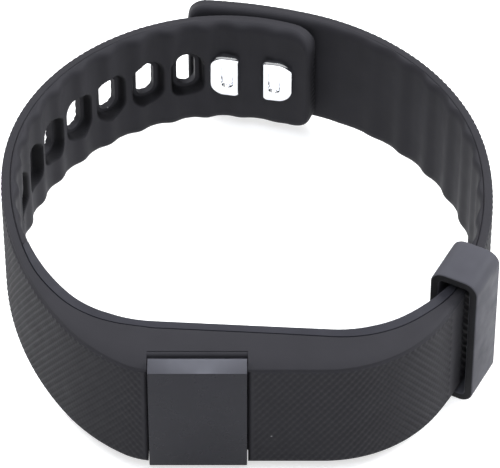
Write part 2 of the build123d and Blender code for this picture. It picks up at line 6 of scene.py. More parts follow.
import bmesh
import bpy
import numpy as np
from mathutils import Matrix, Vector


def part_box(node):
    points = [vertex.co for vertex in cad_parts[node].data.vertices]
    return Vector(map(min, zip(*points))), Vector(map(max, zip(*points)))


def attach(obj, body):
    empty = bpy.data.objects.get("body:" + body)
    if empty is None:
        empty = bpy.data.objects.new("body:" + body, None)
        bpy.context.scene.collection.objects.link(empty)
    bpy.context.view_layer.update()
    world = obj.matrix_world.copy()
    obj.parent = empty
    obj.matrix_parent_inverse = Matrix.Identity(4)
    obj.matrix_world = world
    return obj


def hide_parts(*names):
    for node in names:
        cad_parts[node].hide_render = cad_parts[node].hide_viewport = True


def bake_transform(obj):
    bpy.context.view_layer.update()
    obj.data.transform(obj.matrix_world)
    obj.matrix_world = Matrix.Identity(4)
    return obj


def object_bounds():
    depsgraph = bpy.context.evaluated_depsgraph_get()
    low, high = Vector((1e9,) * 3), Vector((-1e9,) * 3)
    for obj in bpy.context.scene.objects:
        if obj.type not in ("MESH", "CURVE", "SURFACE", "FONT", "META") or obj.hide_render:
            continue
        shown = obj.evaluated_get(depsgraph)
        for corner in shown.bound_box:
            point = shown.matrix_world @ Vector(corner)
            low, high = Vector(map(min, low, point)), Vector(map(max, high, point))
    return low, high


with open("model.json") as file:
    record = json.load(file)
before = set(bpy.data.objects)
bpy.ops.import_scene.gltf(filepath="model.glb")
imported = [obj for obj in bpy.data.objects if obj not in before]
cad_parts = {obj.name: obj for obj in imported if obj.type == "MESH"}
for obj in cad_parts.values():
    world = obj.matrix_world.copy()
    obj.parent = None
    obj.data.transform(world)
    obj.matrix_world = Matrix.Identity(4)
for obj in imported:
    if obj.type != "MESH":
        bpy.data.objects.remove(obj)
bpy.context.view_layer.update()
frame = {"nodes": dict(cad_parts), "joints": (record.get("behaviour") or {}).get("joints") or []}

# ---- sizes, in millimetres -----------------------------------------------------------------------
# The first ones, and the outlines, are the CAD's.
MM = 0.001
FRONT_Y = -36.1
BODY_WIDTH = 22.0
FACE_WIDTH = 19.4
STRAP_WIDTH = 20.0
STRAP_THICK = 2.4
MID_Z = BODY_WIDTH / 2
CREASE = FACE_WIDTH / 2                # half height of the flat outer face
BLOCK_X = (-14.4, -0.4)
WINDOW_GAP = 0.12
WINDOW_REAR_Y = -33.6
WINDOW_HALF_HEIGHT = 9.62
WINDOW_FLARE = 0.7
POCKET = ((-17.2, 14.4), (-34.7, -20.0), (2.4, 19.6))
SPLIT_X = -7.4
FACE_END_Y = -30.0                     # the front face lies before this
SIDE_X = 20.0                          # the wrist's two sides lie beyond this

# The drawing's own origin, found from two faces of the frame.
SHIFT = np.array([
    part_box("block_bezel")[0].x / MM - BLOCK_X[0],
    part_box("front_shell")[0].y / MM - FRONT_Y,
])
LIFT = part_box("front_shell")[0].z / MM

# Outlines: a radius and an angle for each arc, None and a length for each straight line.
RIGHT_PIECES = [(None, 10.5 - SPLIT_X), (20.0, 56.0), (49.0, 41.5), (37.5, 65.0), (70.0, 15.5)]
LEFT_PIECES = [(None, SPLIT_X + 13.3), (10.0, 30.5), (27.0, 23.5), (52.0, 37.0), (33.5, 73.0), (30.0, 44.0)]
WRIST_LEFT = (-13.9, -27.4)
WRIST_RIGHT = (11.5, -29.0)
WRIST_LEFT_PIECES = [(17.1, 45.9), (34.0, 25.0), (None, 10.0)]
WRIST_RIGHT_PIECES = [(16.4, 41.0), (30.0, 26.0), (None, 10.0)]
CASE_THICK = 1.6

# The sloped edges of the front, and the groove along them.
EDGE_RUN = 6.0
EDGE_SLOPE = (BODY_WIDTH - FACE_WIDTH) / 2 / EDGE_RUN
CREASE_STEP = 0.02
GROOVE_DEPTH_IN = 1.3                  # where the groove runs along the straps' edges
EDGE_STEP = (                          # beside the lattice: depth, height, share of the teeth
    (0.13, -0.32, 1.0), (0.22, -0.20, 1.0), (0.23, -0.06, 1.0), (0.25, 0.02, 0.5),
)
SEAM_WALL = (0.22, 0.28, 0.36, 0.46, 0.60, 0.76, 0.94, 1.14, 1.4)   # steps down behind the case
RIM_ANGLES = (8, 26, 42, 56, 68, 79, 88)   # round the edge of the strap's inner face
RIM_DROP = 1.45
RIM_GAP = 0.28

# Lattice on the outer faces: period along the band, period across it, height.
# Two families of slanted ridges cross. On the sides one family stands higher than the other.
LATTICE = (1.09, 1.48, 0.055)
RIDGES_FRONT = (0.85, 1.15)
RIDGES_SIDE = (2.7, 0.15)
LATTICE_MARGIN = 0.42
TOOTH_HEIGHT = 0.040
STEP = 0.218
OUTER_ROWS = 80
TIP_RINGS = 26

# Holes in the left strap, in dishes, and the waves inside both straps. The holes and dishes are
# slightly shorter and narrower than the CAD's, and the dishes deeper.
HOLE_PITCH = 6.85
FREE_HOLE_COUNT = 7
FREE_HOLES_START = 20.9
FREE_HOLE = (6.1, 2.9)
FREE_DISH = (8.4, 5.0)
DISH_DEPTH = 1.7
DISH_WALL = (-0.50, 0.20)              # where a dish's wall starts and ends, from its outline
DISH_PAINTED_SHADE = ((-0.75, -0.40), (0.0, 0.3))   # where the shade painted on its wall fades in and out
PEG_HOLE = (6.6, 3.4)
PEG_PAD = (7.4, 4.0)                   # where a peg's head draws the strap up against itself
PEG_PAD_RISE = 0.5
PEG_HOLE_AT = 3.85                     # along the clasp, from its middle
DISH_REACH = 4.0                       # along the strap, no dish or pad is wider than this each way
HOLE_CUT_REACH = 6.0
TIP_THIN = (0.55, 0.42)                # the end thins over this distance, by this share
WAVES_LEFT = (89.4, 5.8, 0.52)         # a hollow's place along the outline, pitch, depth
WAVES_RIGHT = (94.2, 6.17, 0.46)

# Clasp pegs: heads with one straight side, seen from inside the band.
PEG_HEAD = (4.5, 8.0, 0.9)
PEG_ROUND = (2.2, 0.7)
PEG_FLAT_GAP = 3.75
PEG_CENTRE = (PEG_FLAT_GAP + PEG_HEAD[0]) / 2
PEG_STEM = (5.0, 1.9)
PEG_STEM_PITCH = 7.3
PEG_DIMPLE = (4.2, 1.7)

# Loop that rides on the strap, and the bevelled block.
KEEPER_HEADING = math.radians(62.5)    # the way the strap runs through the loop
KEEPER_TANGENT = np.array([math.cos(KEEPER_HEADING), math.sin(KEEPER_HEADING)])
KEEPER_THICK = 7.4
KEEPER_LENGTH = 7.6
KEEPER_WALL = 1.3
KEEPER_ROUND = (2.1, 0.75, 0.22)       # corners outside, corners inside, edges
KEEPER_CROWN = 0.10
BEVEL = (1.75, 1.2)                    # along Y and along Z
BLOCK_EDGE = 0.10
BLOCK_WALL = 1.2
FLEX_REACH = 5.0                       # how far each side of a flex line its unused ends are put


# ---- outlines ------------------------------------------------------------------------------------
class Outline:
    """Lines and arcs joined end to end, each tangent to the last, as seen from above."""

    def __init__(self, start, heading, turn, pieces):
        self.turn = turn
        self.parts = []
        point = np.array(start, float)
        heading = math.radians(heading)
        distance = 0.0
        for radius, size in pieces:
            length = size if radius is None else radius * math.radians(size)
            self.parts.append((distance, length, radius, point.copy(), heading))
            point, _, heading = self._along(self.parts[-1], np.array([length]))
            point, heading = point[0], float(heading[0])
            distance += length
        self.length = distance

    def _along(self, part, s):
        """Points, inward normals and headings at distances s into one part."""
        _, _, radius, start, heading = part
        if radius is None:
            h = np.full_like(s, heading)
            points = start + s[:, None] * np.array([math.cos(heading), math.sin(heading)])
        else:
            h = heading + self.turn * s / radius
            centre = start + radius * self.turn * np.array([-math.sin(heading), math.cos(heading)])
            points = centre - radius * self.turn * np.stack([-np.sin(h), np.cos(h)], 1)
        normals = self.turn * np.stack([-np.sin(h), np.cos(h)], 1)
        return points, normals, h

    def at(self, s):
        """Points and inward normals at distances s from the outline's start."""
        s = np.atleast_1d(np.asarray(s, float))
        points = np.zeros((len(s), 2))
        normals = np.zeros((len(s), 2))
        for i, part in enumerate(self.parts):
            first, last = i == 0, i == len(self.parts) - 1
            mask = ((s >= part[0]) | first) & ((s < part[0] + part[1]) | last)
            if mask.any():
                points[mask], normals[mask], _ = self._along(part, s[mask] - part[0])
        return points, normals

    def samples(self):
        """Closely spaced distances from start to end, and their points."""
        s = np.arange(0, self.length, 0.02)
        return s, self.at(s)[0]

    def nearest(self, point):
        """Distance along the outline to the place nearest a point."""
        s, points = self.samples()
        return float(s[np.argmin(((points - point) ** 2).sum(1))])


right_outline = Outline((SPLIT_X, FRONT_Y), 0, 1, RIGHT_PIECES)
left_outline = Outline((SPLIT_X, FRONT_Y), 180, -1, LEFT_PIECES)
wall_heading = math.degrees(math.atan2(WRIST_RIGHT[1] - WRIST_LEFT[1], WRIST_RIGHT[0] - WRIST_LEFT[0]))
wrist_left = Outline(WRIST_LEFT, 180 + wall_heading, -1, WRIST_LEFT_PIECES)
wrist_right = Outline(WRIST_RIGHT, wall_heading, 1, WRIST_RIGHT_PIECES)
wrist_curve = np.concatenate([
    wrist_left.at(np.arange(wrist_left.length, 0, -0.25))[0],
    wrist_right.at(np.arange(0, wrist_right.length, 0.25))[0],
])

# The two halves of the soft band. Only the left one has holes, and it is thicker at the ridges
# between its waves. Only the right one has a strip without a lattice, by the loop.
Half = namedtuple("Half", "outline case_end_y corner ridge_thick inner_rows has_holes smooth_strip")
LEFT = Half(left_outline, -12.0, 3.6, 2.8, 84, True, None)
RIGHT = Half(right_outline, -19.0, 3.0, STRAP_THICK, 34, False, (40.75, 44.35))


def ray_depth(points, normals, curve):
    """Distance from each point along its normal to a curve, or -1 where it misses."""
    depth = np.full(len(points), -1.0)
    for i, (p, n) in enumerate(zip(points, normals)):
        d = curve - p
        side = d[:, 0] * n[1] - d[:, 1] * n[0]
        ahead = d @ n
        cross = np.nonzero((side[:-1] * side[1:] <= 0) & (ahead[:-1] > -1) & (ahead[:-1] < 14))[0]
        if len(cross):
            k = cross[0]
            f = side[k] / (side[k] - side[k + 1] + 1e-12)
            depth[i] = ahead[k] + f * (ahead[k + 1] - ahead[k])
    return depth


def smoothstep(a, b, x):
    t = np.clip((x - a) / (b - a), 0, 1)
    return t * t * (3 - 2 * t)


def soft_max(a, b, soft):
    return 0.5 * (a + b + np.sqrt((a - b) ** 2 + soft * soft))


def rounded_outline(width, length, radii, count=14, between=0):
    """Rectangle with a radius for each corner, and points between the corners if asked."""
    corners = []
    for k, ((cx, cy), r) in enumerate(zip(((1, 1), (-1, 1), (-1, -1), (1, -1)), radii)):
        a = np.radians(90 * k + 90 * np.arange(count) / (count - 1))
        corners.append(np.column_stack([cx * (width / 2 - r) + r * np.cos(a),
                                        cy * (length / 2 - r) + r * np.sin(a)]))
    points = []
    for k, corner in enumerate(corners):
        points.append(corner)
        stop = corners[(k + 1) % 4][0]
        for i in range(between):
            points.append([corner[-1] + (stop - corner[-1]) * (i + 1) / (between + 1)])
    return np.concatenate(points)


def stadium(length, width, corner=None):
    """Slot with round ends, or a rounded rectangle if a corner radius is given."""
    return rounded_outline(width, length, (width / 2 if corner is None else corner,) * 4)


def shrink(points, inset):
    """An outline drawn in towards its middle by a distance."""
    centre = points.mean(0)
    offset = points - centre
    return centre + offset * (1 - inset / np.abs(offset).max(0))


# ---- mesh helpers --------------------------------------------------------------------------------
def to_frame(points):
    """Drawing millimetres to frame metres."""
    points = np.array(points, float)
    points[..., 0] += SHIFT[0]
    points[..., 1] += SHIFT[1]
    points[..., 2] += LIFT
    return points * MM


def make_mesh(name, points, faces, smooth=True):
    mesh = bpy.data.meshes.new(name)
    mesh.from_pydata(points.reshape(-1, 3).tolist(), [], faces)
    mesh.validate()
    mesh.update()
    obj = bpy.data.objects.new(name, mesh)
    bpy.context.scene.collection.objects.link(obj)
    if smooth:
        mesh.polygons.foreach_set("use_smooth", [True] * len(mesh.polygons))
    return obj


def make_solid(name, points, faces, smooth=True):
    """Closed mesh whose normals all point out."""
    obj = make_mesh(name, points, faces, smooth)
    bm = bmesh.new()
    bm.from_mesh(obj.data)
    bmesh.ops.recalc_face_normals(bm, faces=bm.faces)
    bm.to_mesh(obj.data)
    bm.free()
    return obj


def grid_faces(rows, columns, wrap_rows=False, caps=True):
    """Quads over rows of points, each row closed into a ring."""
    faces = []
    last = rows if wrap_rows else rows - 1
    for i in range(last):
        a0 = i * columns
        b0 = ((i + 1) % rows) * columns
        for j in range(columns):
            k = (j + 1) % columns
            faces.append((a0 + j, a0 + k, b0 + k, b0 + j))
    if caps:
        faces.append(tuple(range(columns - 1, -1, -1)))
        faces.append(tuple((rows - 1) * columns + j for j in range(columns)))
    return faces


def sharpen(obj, degrees):
    """Smooth shading that keeps edges sharper than an angle."""
    obj.data.polygons.foreach_set("use_smooth", [True] * len(obj.data.polygons))
    obj.data.set_sharp_from_angle(angle=math.radians(degrees))


def apply_modifiers(obj):
    graph = bpy.context.evaluated_depsgraph_get()
    mesh = bpy.data.meshes.new_from_object(obj.evaluated_get(graph))
    old = obj.data
    obj.modifiers.clear()
    obj.data = mesh
    bpy.data.meshes.remove(old)


def cut(obj, *cutters):
    """Take cutters out of obj and delete them."""
    for cutter in cutters:
        mod = obj.modifiers.new("cut", "BOOLEAN")
        mod.operation = "DIFFERENCE"
        mod.solver = "EXACT"
        mod.object = cutter
    apply_modifiers(obj)
    for cutter in cutters:
        bpy.data.objects.remove(cutter)


def box_cutter(x, y, z):
    corners = np.array([[a, b, c] for a in x for b in y for c in z])
    faces = [(0, 1, 3, 2), (4, 6, 7, 5), (0, 4, 5, 1), (2, 3, 7, 6), (0, 2, 6, 4), (1, 5, 7, 3)]
    return make_mesh("cutter", to_frame(corners), faces, smooth=False)


# ---- the clasp's place, from the frame -----------------------------------------------------------
joints = {j["name"]: j for j in frame["joints"]}
right_pivot = np.array(joints["clasp_strap_swing"]["pos_m"][:2]) / MM - SHIFT
left_pivot = np.array(joints["hole_strap_swing"]["pos_m"][:2]) / MM - SHIFT
along = (right_pivot - left_pivot) / np.linalg.norm(right_pivot - left_pivot)
outward = np.array([-along[1], along[0]])
peg_low, peg_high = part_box("clasp_pegs")
peg_centre = (np.array([peg_low.x + peg_high.x, peg_low.y + peg_high.y]) / 2) / MM - SHIFT

# Length on the hole strap's inner face over length on its outer face.
INNER_SCALE = 1 - STRAP_THICK / LEFT_PIECES[-1][0]
clasp_on_holes = left_outline.nearest(peg_centre + outward * 1.5)
peg_places = [clasp_on_holes + side * PEG_HOLE_AT / INNER_SCALE for side in (1, -1)]
free_places = [left_outline.length - FREE_HOLES_START - HOLE_PITCH * i for i in range(FREE_HOLE_COUNT)]


# ---- the soft band -------------------------------------------------------------------------------
def lattice_fade(half, s, z, x, y):
    """How strong the lattice is: nothing at the edges, beside the block and in the smooth strip."""
    fade = smoothstep(0.35, 0.6, CREASE - np.abs(z))
    if y < FACE_END_Y:
        fade = fade * smoothstep(0.5, 1.2, max(BLOCK_X[0] - x, x - BLOCK_X[1]))
    if half.smooth_strip:
        start, stop = half.smooth_strip
        fade = fade * smoothstep(-0.1, 0.2, abs(s - (start + stop) / 2) - (stop - start) / 2)
    return fade


def lattice(s, z, side_on):
    """Height of two crossing families of slanted ridges, which leave small raised cells."""
    a = 2 * np.pi * s / LATTICE[0]
    b = 2 * np.pi * z / LATTICE[1]
    strength = [f + (t - f) * side_on for f, t in zip(RIDGES_FRONT, RIDGES_SIDE)]
    return LATTICE[2] * 0.5 * (strength[0] * np.cos(a + b) + strength[1] * np.cos(a - b))


def slot_distance(u, v, length, width):
    """Signed distance to a slot with round ends, centred at the origin."""
    v = np.maximum(np.abs(v) - (length - width) / 2, 0)
    return np.hypot(u, v) - width / 2


def seam_depth(points, normals):
    """How deep the wrist's wall and the back case's seam lie under places on the outline."""
    depth = ray_depth(points, normals, wrist_curve)
    missed = np.nonzero(depth < 0)[0]
    if len(missed):
        depth[missed[0]:] = -1
    groove = np.where(depth > 0, depth - CASE_THICK, 0)
    return depth, soft_max(groove, GROOVE_DEPTH_IN, 0.2)


def case_end(half):
    """Distance along a half's outline at which the back case ends."""
    s, points = half.outline.samples()
    return float(s[np.argmax((points[:, 1] > half.case_end_y) & (np.abs(points[:, 0]) > SIDE_X))])


def ring_places(half, s_break):
    """Distances of the rings: even steps, two rings at the case's end, and more round the tip."""
    end = half.outline.length
    s = np.arange(0, end - half.corner, STEP)
    tip = end - half.corner * (1 - np.sin(np.linspace(0, np.pi / 2, TIP_RINGS)))
    s = np.concatenate([s[s < tip[0] - 0.05], tip])
    return np.sort(np.concatenate([s[np.abs(s - s_break) > 0.04], [s_break - 0.02, s_break]]))


def inner_waves(half, s, s_break):
    """Depth of the waves of the inner face, between soft ridges."""
    end = half.outline.length
    if half is LEFT:
        hollow, pitch, depth = WAVES_LEFT
        share = (s - s_break) / (end - s_break)
        strength = smoothstep(0.0, 0.12, share) * (1 - 0.5 * smoothstep(end - 16, end - 9, s))
    else:
        hollow, pitch, depth = WAVES_RIGHT
        strength = smoothstep(s_break + 2, s_break + 9, s) * (1 - 0.85 * smoothstep(end - 42, end - 20, s))
        strength = strength * (1 - smoothstep(end - 24, end - 18, s))
    u = (s - hollow) / pitch
    u = u - np.round(u)
    return depth * strength * (1 - np.abs(np.sin(np.pi * u)) ** 3)


def tip_shape(half, s):
    """How much narrower, and how much thinner, the strap is towards its rounded end."""
    end = half.outline.length
    into_tip = np.clip(s - (end - half.corner), 0, half.corner)
    side = STRAP_WIDTH / 2
    narrow = (side - (half.corner - np.sqrt(np.maximum(half.corner ** 2 - into_tip ** 2, 0)))) / side
    reach, share = TIP_THIN
    thin = 1 - share * np.clip((s - (end - reach)) / reach, 0, 1) ** 2.5
    return narrow, thin


def round_over(x, y, radius=0.7):
    """How far the outer face falls away where it meets the block's window."""
    gap = max(BLOCK_X[0] - WINDOW_GAP - x, x - BLOCK_X[1] - WINDOW_GAP)
    if y >= FACE_END_Y or gap >= radius:
        return 0.0
    return radius - math.sqrt(max(radius * radius - (radius - max(gap, 0)) ** 2, 0))


def dishes(s, z):
    """Relief of the inner face round the holes, its freedom from waves, and the shade painted on the dishes'
    walls.
    """
    relief, calm, painted_wall_shade = np.zeros((3, len(z)))
    for place in peg_places + free_places:
        across = (s - place) * INNER_SCALE
        if abs(across) >= DISH_REACH:
            continue
        used = place in peg_places
        d = slot_distance(across, z, *(PEG_PAD if used else FREE_DISH))
        inside = 1 - smoothstep(*DISH_WALL, d)
        relief += inside * (PEG_PAD_RISE if used else -DISH_DEPTH)
        calm = np.maximum(calm, inside)
        if not used:
            fade_in, fade_out = DISH_PAINTED_SHADE
            painted_wall_shade = np.maximum(painted_wall_shade, smoothstep(*fade_in, d) * (1 - smoothstep(*fade_out, d)))
    return relief, calm, painted_wall_shade


def edge_profile(groove, thick, slope, tooth, dip, line, wave, in_case):
    """The upper edge, from the lattice to the inner face, as (depth, height) points."""
    def top(n):
        return CREASE + CREASE_STEP + slope * min(n, EDGE_RUN)

    points = [(d * dip - k * tooth, CREASE + h + tooth) for d, h, k in EDGE_STEP]
    points.append((0.33, top(0.40) - 0.015))
    points += [(groove * f, top(groove * f)) for f in (0.45, 0.9)]
    points += [(groove - 0.07, top(groove) - 0.03 * line), (groove, top(groove) - 0.16 * line)]
    if in_case:
        return points + [(groove, top(groove) - d) for d in SEAM_WALL]
    rim = top(min(groove + 0.3, EDGE_RUN)) + 0.02 * line
    points += [(groove + 0.07, top(groove) - 0.18 * line), (groove + 0.15, rim - 0.05 * line)]
    reach = thick - groove - 0.2
    for a in np.radians(RIM_ANGLES):
        sag = wave * np.sqrt(np.sin(a))
        points.append((groove + 0.2 + reach * np.sin(a) - sag, rim - RIM_DROP * (1 - np.cos(a))))
    return points


def band(name, half):
    """One half of the soft band, from behind the block to the end of its strap."""
    s_break = case_end(half)
    s = ring_places(half, s_break)
    points, normals = half.outline.at(s)
    depth, groove = seam_depth(points, normals)
    in_case = s < s_break - 0.01
    share = (s - s_break) / (half.outline.length - s_break)
    thick = STRAP_THICK + (half.ridge_thick - STRAP_THICK) * smoothstep(4.0, 16.0, s - s_break)
    near_case = (depth > 0) & (s <= s_break + 12)
    thick = np.where(near_case, soft_max(thick, depth, 0.3), thick)
    wave = inner_waves(half, s, s_break)
    narrow, thin = tip_shape(half, s)
    side_on = smoothstep(0.15, 0.65, np.abs(normals[:, 0]))
    tooth_on = smoothstep(0.0, 0.1, share) * (1 - 0.7 * smoothstep(0.5, 0.8, share))
    teeth = TOOTH_HEIGHT * np.cos(2 * np.pi * s / LATTICE[0]) * tooth_on
    dip = 1 - 0.75 * smoothstep(0.0, 0.15, share)
    line = 1 - smoothstep(0.50, 0.78, share)

    z_outer = np.linspace(LATTICE_MARGIN - CREASE, CREASE - LATTICE_MARGIN, OUTER_ROWS)
    rings, marks = [], []
    for i, si in enumerate(s):
        fade = lattice_fade(half, si, z_outer, *points[i])
        n_outer = round_over(*points[i]) - lattice(si, z_outer, side_on[i]) * fade
        slope = EDGE_SLOPE if in_case[i] or depth[i] > 0 else EDGE_SLOPE * 0.9
        upper = edge_profile(groove[i], thick[i], slope, teeth[i], dip[i], line[i], wave[i], in_case[i])
        z_last = upper[-1][1] - RIM_GAP
        z_inner = np.linspace(z_last, -z_last, half.inner_rows)
        relief, calm, painted_wall_shade = np.zeros((3, half.inner_rows))
        if half.has_holes and not in_case[i]:
            relief, calm, painted_wall_shade = dishes(si, z_inner)
        n_inner = thick[i] - wave[i] * (1 - calm) + relief
        if in_case[i]:
            n_inner = np.full(half.inner_rows, groove[i])

        ring = np.array([*zip(n_outer, z_outer), *upper, *zip(n_inner, z_inner),
                         *[(n, -z) for n, z in reversed(upper)]])
        mark = np.zeros((len(ring), 6))
        mark[:, 0] = si / LATTICE[0]
        mark[:, 1] = ring[:, 1] / LATTICE[1]
        mark[:OUTER_ROWS, 2] = fade
        mark[:, 3] = side_on[i]
        first = OUTER_ROWS + len(upper)
        # column 4: shade painted into the colour of the dishes' steep walls
        mark[first:first + half.inner_rows, 4] = painted_wall_shade
        marks.append(mark)

        middle = thick[i] / 2
        ring[:, 0] = middle + (ring[:, 0] - middle) * thin[i]
        ring[:, 1] = MID_Z + ring[:, 1] * narrow[i] * (1 - 0.04 * (1 - thin[i]))
        rings.append(np.column_stack([points[i] + ring[:, :1] * normals[i], ring[:, 1]]))
    rings = np.array(rings)
    obj = make_solid(name, to_frame(rings), grid_faces(len(s), rings.shape[1]))
    marks = np.array(marks).reshape(-1, 6)
    corners = np.zeros(len(obj.data.loops), int)
    obj.data.loops.foreach_get("vertex_index", corners)
    # the shade layer carries the shade painted on the dishes' walls
    for layer, columns in (("lattice", (0, 1)), ("relief", (2, 3)), ("shade", (4, 5))):
        uv = obj.data.uv_layers.new(name=layer)
        uv.data.foreach_set("uv", marks[corners][:, columns].ravel())
    return obj


def window_cutter():
    """The block's window, flared where it meets the two sloped edges of the front."""
    flare = []
    for a in np.radians(90 * np.arange(9) / 8):
        flare.append((WINDOW_REAR_Y + WINDOW_FLARE * (1 - math.cos(a)),
                      WINDOW_HALF_HEIGHT + WINDOW_FLARE * math.sin(a)))
    y_out, z_out = -40.0, 13.0         # well outside the front
    section = [(y_out, z_out), (flare[-1][0], z_out), *flare[::-1]]
    section += [(y, -z) for y, z in reversed(section)]
    rings = [[(x, y, MID_Z + z) for y, z in section]
             for x in (BLOCK_X[0] - WINDOW_GAP, BLOCK_X[1] + WINDOW_GAP)]
    return make_solid("window", to_frame(rings), grid_faces(2, len(section)), smooth=False)


def hole_cutters():
    """Prisms through the left strap, in one object."""
    holes = []
    for side in (1, -1):
        base = peg_centre + along * PEG_HOLE_AT * side
        holes.append((stadium(*PEG_HOLE, corner=1.0), base, along, -outward))
    for place in free_places:
        base, inward = (values[0] for values in left_outline.at(place))
        holes.append((stadium(*FREE_HOLE), base, np.array([inward[1], -inward[0]]), inward))
    points, faces = [], []
    for section, base, tangent, inward in holes:
        offset = len(points)
        for w in (-HOLE_CUT_REACH, HOLE_CUT_REACH):
            points += [(*(base + tangent * a + inward * w), MID_Z + b) for a, b in section]
        faces += [tuple(offset + k for k in face) for face in grid_faces(2, len(section))]
    return make_solid("holes", to_frame(points), faces, smooth=False)


right_band = band("right_band", RIGHT)
left_band = band("left_band", LEFT)
cut(right_band, window_cutter(), box_cutter(*POCKET))
cut(left_band, window_cutter(), box_cutter(*POCKET), hole_cutters())
for piece in (left_band, right_band):
    sharpen(piece, 48)


# ---- tracker back case: the smooth inner lining --------------------------------------------------
def lining():
    """One strip round the wrist's wall, from the case's left end to its right end."""
    strips = []
    for half in (LEFT, RIGHT):
        last = case_end(half) - 0.05
        s = np.append(np.arange(0, last - 0.2, 0.4), last)
        points, normals = half.outline.at(s)
        depth, groove = seam_depth(points, normals)
        strip = []
        for point, normal, d, g in zip(points, normals, depth, groove + 0.08):
            z_in = CREASE + EDGE_SLOPE * min(d, EDGE_RUN)
            z_out = CREASE + EDGE_SLOPE * min(g, EDGE_RUN)
            top = [(d, z_in - 1.2), (d, z_in - 0.55), (d - 0.05, z_in - 0.28), (d - 0.16, z_in - 0.11),
                   (d - 0.34, z_in - 0.02), ((d + g) / 2, (z_in + z_out) / 2), (g + 0.24, z_out),
                   (g + 0.08, z_out - 0.05), (g, z_out - 0.2), (g, z_out - 1.2)]
            ring = top + [(n, -z) for n, z in reversed(top)]
            strip.append([(*(point + normal * n), MID_Z + z) for n, z in ring])
        strips.append(strip)
    rings = np.array(strips[0][::-1] + strips[1][1:])
    return make_solid("tracker_back_case", to_frame(rings), grid_faces(len(rings), rings.shape[1]))


def contact_cutter(x, z, y_ends, radius, count=40):
    """Cylinder along Y round a charging contact, in frame metres."""
    turns = 2 * np.pi * np.arange(count) / count
    rings = [[(x + radius * math.cos(a), y, z + radius * math.sin(a)) for a in turns] for y in y_ends]
    return make_solid("rod", np.array(rings), grid_faces(2, count), smooth=False)


back_case = lining()
contact_low, contact_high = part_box("charge_contacts")
contact_radius = (contact_high.x - contact_low.x) / 2
for contact_z in (contact_low.z + contact_radius, contact_high.z - contact_radius):
    cut(back_case, contact_cutter((contact_low.x + contact_high.x) / 2, contact_z,
                                  (contact_low.y, contact_high.y + 3 * MM), contact_radius + 0.4 * MM))
sharpen(back_case, 40)


# ---- keeper loop ---------------------------------------------------------------------------------
def keeper():
    """The loop's wall, with rounded edges and a slight crown, carried round the strap."""
    low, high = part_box("keeper_loop")
    centre = np.array([(low.x + high.x) / 2, (low.y + high.y) / 2]) / MM - SHIFT
    mid_z = (low.z + high.z) / 2 / MM - LIFT
    height = (high.z - low.z) / MM
    across = np.array([KEEPER_TANGENT[1], -KEEPER_TANGENT[0]])
    round_out, round_in, round_edge = KEEPER_ROUND
    outer = rounded_outline(KEEPER_THICK, height, (round_out,) * 4, 22, between=4)
    inner = rounded_outline(KEEPER_THICK - 2 * KEEPER_WALL, height - 2 * KEEPER_WALL, (round_in,) * 4,
                            22, between=4)
    profile = rounded_outline(KEEPER_WALL, KEEPER_LENGTH, (round_edge,) * 4, 5)
    rings = []
    for p_out, p_in in zip(outer, inner):
        ring = []
        for w, v in profile:
            f = w / KEEPER_WALL + 0.5
            q = p_in * (1 - f) + p_out * f
            crown = KEEPER_CROWN * (1 - (2 * v / KEEPER_LENGTH) ** 2) * f
            q = q * (1 + crown / max(np.hypot(*q), 1))
            ring.append((*(centre + across * q[0] + KEEPER_TANGENT * v), mid_z + q[1]))
        rings.append(ring)
    faces = grid_faces(len(rings), len(profile), wrap_rows=True, caps=False)
    return make_solid("keeper_ring", to_frame(rings), faces)


keeper_ring = keeper()
sharpen(keeper_ring, 60)


# ---- raised block --------------------------------------------------------------------------------
def round_corners(points, radius, count=5):
    """Replace each corner of a closed outline with a small arc."""
    points = np.array(points, float)
    out = []
    for i, p in enumerate(points):
        a = points[i - 1] - p
        b = points[(i + 1) % len(points)] - p
        a, b = a / np.linalg.norm(a), b / np.linalg.norm(b)
        angle = math.acos(np.clip(a @ b, -1, 1))
        reach = radius / math.tan(angle / 2)
        centre = p + (a + b) / np.linalg.norm(a + b) * radius / math.sin(angle / 2)
        start, stop = p + a * reach - centre, p + b * reach - centre
        for f in np.arange(count) / (count - 1):
            v = start * (1 - f) + stop * f
            out.append(centre + v / np.linalg.norm(v) * radius)
    return np.array(out)


def block():
    """The bevelled block: a section carried along X, hollow behind its face."""
    low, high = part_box("block_bezel")
    front, rear = low.y / MM - SHIFT[1], high.y / MM - SHIFT[1]
    half = (high.z - low.z) / 2 / MM
    run, rise = BEVEL
    upper = [(rear, half), (front + run, half), (front, half - rise)]
    section = [(y, MID_Z - z) for y, z in reversed(upper)] + [(y, MID_Z + z) for y, z in upper]
    section = round_corners(section, BLOCK_EDGE)
    steps = [(0.0, BLOCK_EDGE), (BLOCK_EDGE * 0.3, BLOCK_EDGE * 0.35), (BLOCK_EDGE, 0.0)]
    places = [(BLOCK_X[0] + a, inset) for a, inset in steps]
    places += [(BLOCK_X[1] - a, inset) for a, inset in reversed(steps)]
    rings = [[(x, *point) for point in shrink(section, inset)] for x, inset in places]
    obj = make_solid("block_frame", to_frame(rings), grid_faces(len(rings), len(section)))
    hollow_x = (low.x / MM - SHIFT[0] + BLOCK_WALL, high.x / MM - SHIFT[0] - BLOCK_WALL)
    cut(obj, box_cutter(hollow_x, (front + 0.8, rear + 1), (2.6, 19.4)))
    sharpen(obj, 28)
    return obj


bezel = block()


# ---- clasp pegs and plate ------------------------------------------------------------------------
def clasp_extent(node):
    """Lowest and highest places of a node along the clasp, outward and upward."""
    points = np.array([v.co[:] for v in frame["nodes"][node].data.vertices]) / MM
    flat = points[:, :2] - SHIFT
    return [(values.min(), values.max()) for values in (flat @ along, flat @ outward, points[:, 2])]


def clasp_solid(name, rows, middle, base=0.0):
    """Solid through outlines of the clasp: each row is an outline and its place outward."""
    points = []
    for outline, w in rows:
        points += [(*(along * (middle + a) + outward * (base + w)), MID_Z + b) for a, b in outline]
    return make_solid(name, to_frame(points), grid_faces(len(rows), len(rows[0][0])))


